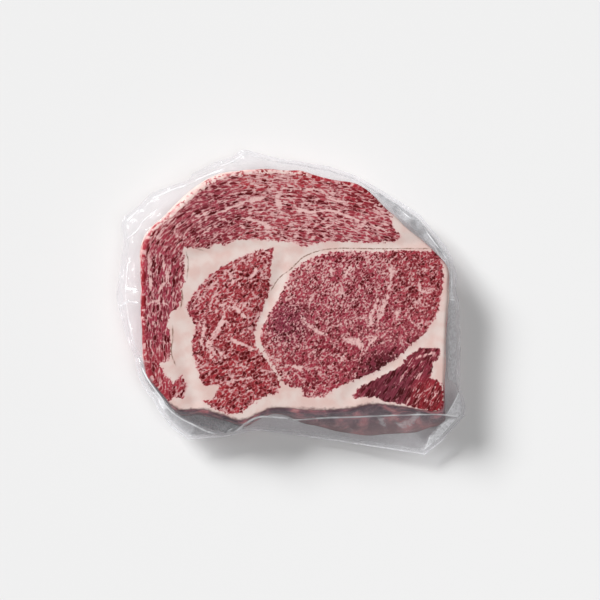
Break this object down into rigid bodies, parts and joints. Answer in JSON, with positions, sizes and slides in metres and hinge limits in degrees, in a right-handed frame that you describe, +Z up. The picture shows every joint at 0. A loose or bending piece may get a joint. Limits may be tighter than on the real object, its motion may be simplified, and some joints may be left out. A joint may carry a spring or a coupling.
{
  "type": "raw beef steak in clear vacuum pouch",
  "caption": "Thick raw marbled rib-eye beef steak, shrink-sealed in a clear plastic vacuum pouch with a crinkled welded edge, lying flat.",
  "frame": {"origin": "on the resting surface, under the middle of the pouch's outer edge", "axes": "+Z up out of the cut face, +X to the right of the cut face with the lean eye muscle on its right, +Y towards the cap muscle that rounds the top"},
  "size_m": [0.2615, 0.2333, 0.0286],
  "materials": {
    "marbled_beef": "raw lean red meat, finely marbled with cream-pink fat, moist and satin under clear film",
    "clear_film": "thin clear polyethylene pouch film, glossy, with fine creases and folds"
  },
  "bodies": {
    "root": {"sealed_steak_pack": "marbled_beef"}
  },
  "joints": []
}
